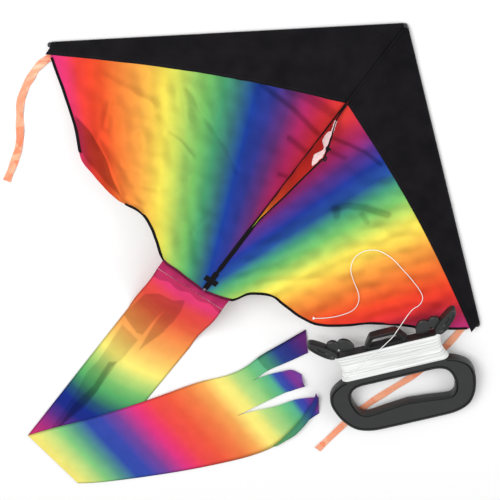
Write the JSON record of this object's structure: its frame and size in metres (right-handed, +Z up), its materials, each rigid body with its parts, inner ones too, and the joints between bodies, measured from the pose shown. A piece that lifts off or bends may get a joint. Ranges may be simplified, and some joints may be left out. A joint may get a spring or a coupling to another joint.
{
  "type": "delta kite",
  "caption": "Single-line rainbow delta kite laid out keel up, with folded ribbon tail, tip ribbons and a D-grip line winder.",
  "frame": {"origin": "under the middle of the laid-out kite, on the floor", "axes": "+Y towards the nose along the spine, +X towards the right wing tip seen from the keel side, +Z up"},
  "size_m": [1.1014, 1.237, 0.14],
  "materials": {
    "black_cloth": "ripstop polyester",
    "rod": "glass fibre rod",
    "moulded_plastic": "moulded",
    "tail_hem_cloth": "ripstop polyester",
    "sail_cloth": "rainbow printed ripstop polyester",
    "keel_cloth": "rainbow printed ripstop polyester",
    "patch_cloth": "clear reinforcement film on cloth",
    "tail_cloth": "rainbow printed light nylon",
    "ribbon_cloth": "light crinkled ribbon",
    "winder_plastic": "moulded with polished rims",
    "line_cord": "braided polyester"
  },
  "bodies": {
    "spine": {"spine_rod": "rod", "spine_sleeve": "black_cloth", "spine_end_tab": "black_cloth", "nose_cap": "moulded_plastic", "spine_tail_cap": "moulded_plastic", "tail_hem": "tail_hem_cloth"},
    "left_wing": {"left_leading_edge_rod": "rod", "left_spreader_rod": "rod", "left_leading_panel": "black_cloth", "left_upper_sleeve": "black_cloth", "left_lower_sleeve": "black_cloth", "left_trailing_binding": "black_cloth", "left_nose_patch": "black_cloth", "left_sail": "sail_cloth", "left_tip_cap": "moulded_plastic", "left_spreader_clip": "moulded_plastic", "spreader_ferrule": "moulded_plastic"},
    "right_wing": {"right_leading_edge_rod": "rod", "right_spreader_rod": "rod", "right_leading_panel": "black_cloth", "right_upper_sleeve": "black_cloth", "right_lower_sleeve": "black_cloth", "right_trailing_binding": "black_cloth", "right_nose_patch": "black_cloth", "right_sail": "sail_cloth", "right_tip_cap": "moulded_plastic", "right_spreader_clip": "moulded_plastic"},
    "keel": {"keel_panel": "keel_cloth", "keel_binding": "black_cloth", "tow_loop": "black_cloth", "left_keel_patch": "patch_cloth", "right_keel_patch": "patch_cloth"},
    "tail_upper": {"tail_upper_length": "tail_cloth"},
    "tail_lower": {"tail_lower_length": "tail_cloth"},
    "left_ribbon": {"left_tip_ribbon": "ribbon_cloth"},
    "right_ribbon": {"right_tip_ribbon": "ribbon_cloth"},
    "winder": {"winder_body": "winder_plastic", "wound_line": "line_cord", "free_line": "line_cord"}
  },
  "joints": [
    {"name": "left_wing_fold", "type": "hinge", "parent": "spine", "child": "left_wing", "pos_m": [-0.04762, 0.61413, 0.01074], "axis": [0, 0.9943, -0.1068], "range_deg": [0, 58]},
    {"name": "right_wing_fold", "type": "hinge", "parent": "spine", "child": "right_wing", "pos_m": [-0.04762, 0.61413, 0.01074], "axis": [0, -0.9943, 0.1068], "range_deg": [0, 58]},
    {"name": "keel_lean", "type": "hinge", "parent": "spine", "child": "keel", "pos_m": [-0.04762, 0.61413, 0.01074], "axis": [0, 0.9943, -0.1068], "range_deg": [-18, 18]},
    {"name": "tail_swing", "type": "hinge", "parent": "spine", "child": "tail_upper", "pos_m": [-0.0691, -0.03547, 0.07262], "axis": [-0.9996, -0.0028, -0.0263], "range_deg": [0, 60]},
    {"name": "tail_unfold", "type": "hinge", "parent": "tail_upper", "child": "tail_lower", "pos_m": [-0.0501, -0.59749, 0.0017], "axis": [0.9634, -0.268, 0], "range_deg": [0, 150]},
    {"name": "left_ribbon_swing", "type": "hinge", "parent": "left_wing", "child": "left_ribbon", "pos_m": [-0.53162, 0.18551, 0.0006], "axis": [0, 0, 1], "range_deg": [-15, 15]},
    {"name": "right_ribbon_swing", "type": "hinge", "parent": "right_wing", "child": "right_ribbon", "pos_m": [0.43338, 0.18551, 0.0006], "axis": [0, 0, 1], "range_deg": [-15, 15]},
    {"name": "winder_lift", "type": "slide", "parent": "right_wing", "child": "winder", "axis": [0, 0, 1], "range_m": [0, 0.12]}
  ]
}
